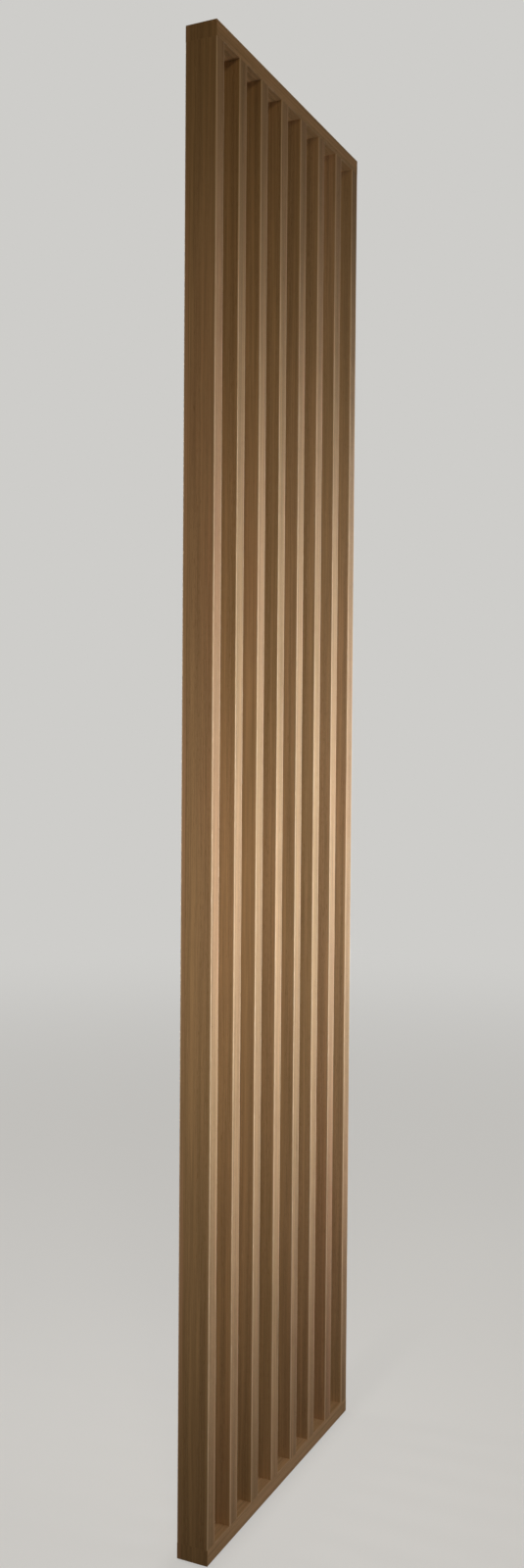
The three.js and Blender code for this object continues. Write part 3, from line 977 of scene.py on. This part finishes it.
def make_thrust_disc(look):
    """Disc with a shallow dimple in the middle of each face."""
    low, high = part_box("thrust_disc")
    radius = radius_of("thrust_disc")
    turned_piece("acetal_thrust_disc", "thrust_disc", [
        (0, low.z + DIMPLE_DEPTH),
        (DIMPLE, low.z),
        (radius, low.z),
        (radius, high.z),
        (DIMPLE, high.z),
        (0, high.z - DIMPLE_DEPTH),
    ], look, ease=FINE_EASE)


def make_bottom_bush(look):
    """Flanged cup that turns on the floor pin and bears on the thrust disc."""
    low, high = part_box("bottom_bush")
    flange = radius_of("bottom_bush")
    barrel = flange - FLANGE_RIM
    bore = radius_of("floor_pin") + RUNNING_FIT
    bore_end = face_of("thrust_disc", True).z + SEAT_GAP
    bush = turned_piece("bronze_bottom_bush", "bottom_bush", [
        (bore, low.z),
        (flange, low.z),
        (flange, low.z + FLANGE),
        (barrel, low.z + FLANGE),
        (barrel, high.z),
        (0, high.z),
        (0, bore_end),
        (bore, bore_end),
    ], look, closed=True)
    cut(bush, *flange_screw_holes("bush_screw", False))
    finish_shading(bush)


def top_pin_radius():
    """Radius of the sprung pin above its collar."""
    return radius_of("top_pin") - COLLAR_STEP


def collar_stop():
    """Height at which the sprung pin's collar stops, just under the cap."""
    return face_of("housing_cap", False).z - SEAT_GAP


def make_housing(look):
    """Flanged cup in the top rail, which holds the spring and the sprung pin."""
    low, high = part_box("top_housing")
    flange = radius_of("top_housing")
    barrel = flange - FLANGE_RIM
    cap_seat = radius_of("housing_cap") + FIT
    bore = radius_of("top_pin") + RUNNING_FIT
    housing = turned_piece("zinc_top_housing", "top_housing", [
        (0, low.z),
        (barrel, low.z),
        (barrel, high.z - FLANGE),
        (flange, high.z - FLANGE),
        (flange, high.z),
        (cap_seat, high.z),
        (cap_seat, collar_stop()),
        (bore, collar_stop()),
        (bore, low.z + HOUSING_END),
        (0, low.z + HOUSING_END),
    ], look)
    cut(housing, *flange_screw_holes("housing_screw", True))
    finish_shading(housing)


def make_cap(look):
    """Ring that keeps the sprung pin in its housing, with two holes for a spanner."""
    low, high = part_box("housing_cap")
    radius = radius_of("housing_cap")
    pin = top_pin_radius()
    cap = turned_piece("bronze_housing_cap", "housing_cap", [
        (pin + RUNNING_FIT, low.z),
        (radius, low.z),
        (radius, high.z),
        (pin + RUNNING_FIT, high.z),
    ], look, closed=True, ease=SMALL_EASE)
    holes = []
    for side in (-1, 1):
        hole = cylinder_cutter(SPANNER_HOLE, high.z - SPANNER_HOLE_DEPTH, high.z + SPARE)
        holes.append(moved(hole, Vector((0, side * (radius + pin) / 2, 0))))
    cut(cap, *holes)
    finish_shading(cap)


def make_top_pin(look):
    low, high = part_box("top_pin")
    collar = radius_of("top_pin")
    pin = top_pin_radius()
    turned_piece("zinc_top_pin", "top_pin", [
        (0, low.z),
        (collar, low.z),
        (collar, collar_stop()),
        (pin, collar_stop()),
        (pin, high.z - TOP_PIN_CHAMFER),
        (pin - TOP_PIN_CHAMFER, high.z),
        (0, high.z),
    ], look, ease=SMALL_EASE)


def spring_heights(low, high):
    """Heights along the middle of the spring's wire. The end turns climb less than the others."""
    count = SPRING_TURNS * SPRING_STEPS
    climbed = [0.0]
    for step in range(count):
        turns = SPRING_TURNS * (step + 0.5) / count
        from_end = min(turns, SPRING_TURNS - turns)
        climbed.append(climbed[-1] + (1.0 if from_end < CLOSED_TURNS else OPEN_CLIMB))
    return [low + (high - low) * climb / climbed[-1] for climb in climbed]


def make_spring(look):
    """Spring with its end turns closed."""
    low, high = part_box("top_spring")
    wire = SPRING_WIRE / 2
    reach = radius_of("top_spring") - wire
    upward = Vector((0, 0, 1))
    rings = []
    for step, height in enumerate(spring_heights(low.z + wire, high.z - wire)):
        angle = 2 * math.pi * step / SPRING_STEPS
        outward = Vector((math.cos(angle), math.sin(angle), 0))
        centre = reach * outward + height * upward
        ring = []
        for side in range(WIRE_SIDES):
            around = 2 * math.pi * side / WIRE_SIDES
            ring.append(centre + wire * (math.cos(around) * outward + math.sin(around) * upward))
        rings.append(ring)
    spring = finish_shading(loft("zinc_top_spring", rings, [look]), WIRE_CREASE)
    settle(spring, "top_spring")
    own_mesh(spring)


def make_ceiling_plate(look):
    """Plate with a boss welded under it, which is bored for the socket bush."""
    low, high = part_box("ceiling_plate")
    width, depth = high.x - low.x, high.y - low.y
    base = high.z - PLATE_THICKNESS
    boss = radius_of("socket_bush")
    bore = top_pin_radius() + RUNNING_FIT + SOCKET_BUSH_WALL + FIT
    plate = plate_body("zinc_ceiling_plate", base, width, depth, look)
    neck = lathe("boss", eased([
        (0, low.z),
        (boss, low.z),
        (boss, base - WELD_BEAD),
        (boss + WELD_BEAD, base + WELD_BEAD / 2),
        (0, base + WELD_BEAD / 2),
    ], EASE), SMOOTH_SIDES)
    cut(plate, neck, operation="UNION")
    bore_cutter = cylinder_cutter(bore, low.z - SPARE, high.z + SPARE)
    cut(plate, plate_holes(base, width, depth, False), bore_cutter)
    settle(finish_shading(plate), "ceiling_plate")


def make_socket_bush(look):
    """Flanged bush in the ceiling plate, in which the sprung pin stands and turns."""
    low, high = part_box("socket_bush")
    flange = radius_of("socket_bush")
    bore = top_pin_radius() + RUNNING_FIT
    barrel = bore + SOCKET_BUSH_WALL
    flange_top = face_of("ceiling_plate", False).z - SEAT_GAP
    turned_piece("acetal_socket_bush", "socket_bush", [
        (bore, low.z),
        (flange, low.z),
        (flange, flange_top),
        (barrel, flange_top),
        (barrel, high.z),
        (bore, high.z),
    ], look, closed=True, ease=SMALL_EASE)


def make_fixings():
    turned_zinc = zinc("zinc_turned", TURNED_ABOUT_Z)
    rolled_zinc = zinc("zinc_rolled", ROLLED_ALONG_X)
    bronze_look = bronze("bronze")
    acetal_look = acetal("acetal")
    make_joinery(beech("beech"), turned_zinc)
    make_floor_plate(rolled_zinc)
    make_floor_pin(turned_zinc)
    make_thrust_disc(acetal_look)
    make_bottom_bush(bronze_look)
    make_housing(turned_zinc)
    make_cap(bronze_look)
    make_top_pin(turned_zinc)
    make_spring(turned_zinc)
    make_ceiling_plate(rolled_zinc)
    make_socket_bush(acetal_look)


# ---------------------------------------------------------------- room, light and camera


def make_camera():
    forward = Vector((
        math.cos(CAMERA_YAW) * math.cos(CAMERA_PITCH),
        math.sin(CAMERA_YAW) * math.cos(CAMERA_PITCH),
        math.sin(CAMERA_PITCH),
    ))
    level_right = Vector((math.sin(CAMERA_YAW), -math.cos(CAMERA_YAW), 0))
    level_down = forward.cross(level_right)
    right = math.cos(CAMERA_ROLL) * level_right + math.sin(CAMERA_ROLL) * level_down
    down = math.cos(CAMERA_ROLL) * level_down - math.sin(CAMERA_ROLL) * level_right
    data = bpy.data.cameras.new("camera")
    data.sensor_width = SENSOR
    data.lens = SENSOR * FOCAL_PIXELS / IMAGE_HEIGHT
    camera = placed("camera", data)
    turn = Matrix((right, -down, -forward)).transposed().to_quaternion()
    camera.matrix_world = Matrix.LocRotScale(CAMERA_PLACE, turn, None)
    bpy.context.scene.camera = camera


def area_light(name, place, target, size, watts, colour, spread):
    """Lamp aimed at the target, with its width and height in metres and its spread in degrees."""
    data = bpy.data.lights.new(name, "AREA")
    data.spread = math.radians(spread)
    data.shape = "RECTANGLE"
    data.size = size[0]
    data.size_y = size[1]
    data.energy = watts
    data.color = colour
    lamp = placed(name, data)
    lamp.location = place
    lamp.rotation_euler = (Vector(target) - Vector(place)).to_track_quat("-Z", "Y").to_euler()
    return lamp


def direct_ray(tree):
    """1 for rays that show the backdrop: from the camera, or by way of gloss or glass."""
    path = add_node(tree, "ShaderNodeLightPath")
    total = path.outputs["Is Camera Ray"]
    for name in ("Is Glossy Ray", "Is Transmission Ray"):
        either = add_node(tree, "ShaderNodeMath", {0: total, 1: path.outputs[name]}, operation="MAXIMUM")
        total = either.outputs[0]
    return total


def mixed(tree, share, first, second):
    """The first shader where the share is 0, and the second where it is 1."""
    made = add_node(tree, "ShaderNodeMixShader", {0: share, 1: first, 2: second})
    return made.outputs[0]


def make_world():
    """Backdrop that the camera sees, and a dim warm fill that lights the panel."""
    world = bpy.data.worlds.new("studio")
    world.use_nodes = True
    tree = world.node_tree
    fill = tree.nodes["Background"]
    fill.inputs["Color"].default_value = FILL
    fill.inputs["Strength"].default_value = FILL_STRENGTH
    shown = add_node(tree, "ShaderNodeBackground", {"Color": BACKDROP})
    either = mixed(tree, direct_ray(tree), fill.outputs[0], shown.outputs[0])
    tree.links.new(either, tree.nodes["World Output"].inputs["Surface"])
    bpy.context.scene.world = world


def floor_look():
    """Pale where the camera sees it, with the shadow near the panel and none further off.

    The panel itself is lit from below by the darker bounce.
    """
    material = bpy.data.materials.new("floor")
    material.use_nodes = True
    tree = material.node_tree
    tree.nodes.clear()
    lit = add_node(tree, "ShaderNodeBsdfDiffuse", {"Color": FLOOR_SHOWN})
    lift = add_node(tree, "ShaderNodeEmission", {"Color": BACKDROP, "Strength": FLOOR_LIFT})
    near = add_node(tree, "ShaderNodeAddShader", {0: lit.outputs[0], 1: lift.outputs[0]})
    far = add_node(tree, "ShaderNodeEmission", {"Color": BACKDROP})
    place = add_node(tree, "ShaderNodeTexCoord").outputs["Object"]
    distance = add_node(tree, "ShaderNodeVectorMath", {0: place}, operation="LENGTH")
    fade = add_node(tree, "ShaderNodeMapRange", {
        "Value": distance.outputs["Value"],
        "From Min": FADE_START,
        "From Max": FADE_END,
    }, interpolation_type="SMOOTHSTEP")
    shown = mixed(tree, fade.outputs[0], near.outputs[0], far.outputs[0])
    bounce = add_node(tree, "ShaderNodeBsdfDiffuse", {"Color": FLOOR_BOUNCE})
    either = mixed(tree, direct_ray(tree), bounce.outputs[0], shown)
    add_node(tree, "ShaderNodeOutputMaterial", {"Surface": either})
    return material


def make_floor():
    shape = bmesh.new()
    bmesh.ops.create_circle(shape, cap_ends=True, segments=FLOOR_SIDES, radius=FLOOR_RADIUS)
    mesh = bpy.data.meshes.new("floor")
    shape.to_mesh(mesh)
    shape.free()
    mesh.materials.append(floor_look())
    floor = placed("floor", mesh)
    floor.location.z = -FLOOR_DROP


def make_lights():
    """Two lamps before the panel, two off its left end, and one each behind, right and above."""
    key = area_light("key", place=(0.25, -2.0, 1.24), target=(0.05, 0.0, 1.24), size=(0.9, 0.7),
                     watts=7.6, colour=(0.88, 0.97, 1.12), spread=67)
    key.visible_glossy = False         # or it would glare along the slats, seen from behind
    area_light("warm", place=(0.25, -2.2, 1.3), target=(0.05, 0.0, 1.3), size=(1.4, 2.4),
               watts=2.0, colour=(1.0, 0.66, 0.30), spread=120)
    area_light("side", place=(-2.3, -1.28, 1.16), target=(0.0, 0.0, 1.16), size=(0.5, 0.4),
               watts=3.3, colour=(1.0, 0.92, 0.80), spread=68)
    area_light("high", place=(-2.3, -1.28, 3.3), target=(0.0, 0.0, 2.0), size=(0.4, 0.4),
               watts=2.7, colour=(1.0, 0.80, 0.48), spread=120)
    area_light("back", place=(0.0, 2.6, 1.45), target=(0.0, 0.0, 1.45), size=(0.4, 2.3),
               watts=8.5, colour=(1.0, 0.99, 0.96), spread=44)
    area_light("right", place=(2.7, 0.0, 1.45), target=(0.0, 0.0, 1.45), size=(0.4, 2.3),
               watts=5.5, colour=(1.0, 0.98, 0.94), spread=44)
    area_light("above", place=(0.0, 0.0, 7.5), target=(0.0, 0.0, 0.0), size=(1.5, 0.06),
               watts=22.0, colour=(1.0, 0.99, 0.97), spread=90)


make_camera()
make_world()
make_floor()
make_lights()
make_wood()
make_fixings()

bpy.context.scene.view_settings.view_transform = "Standard"
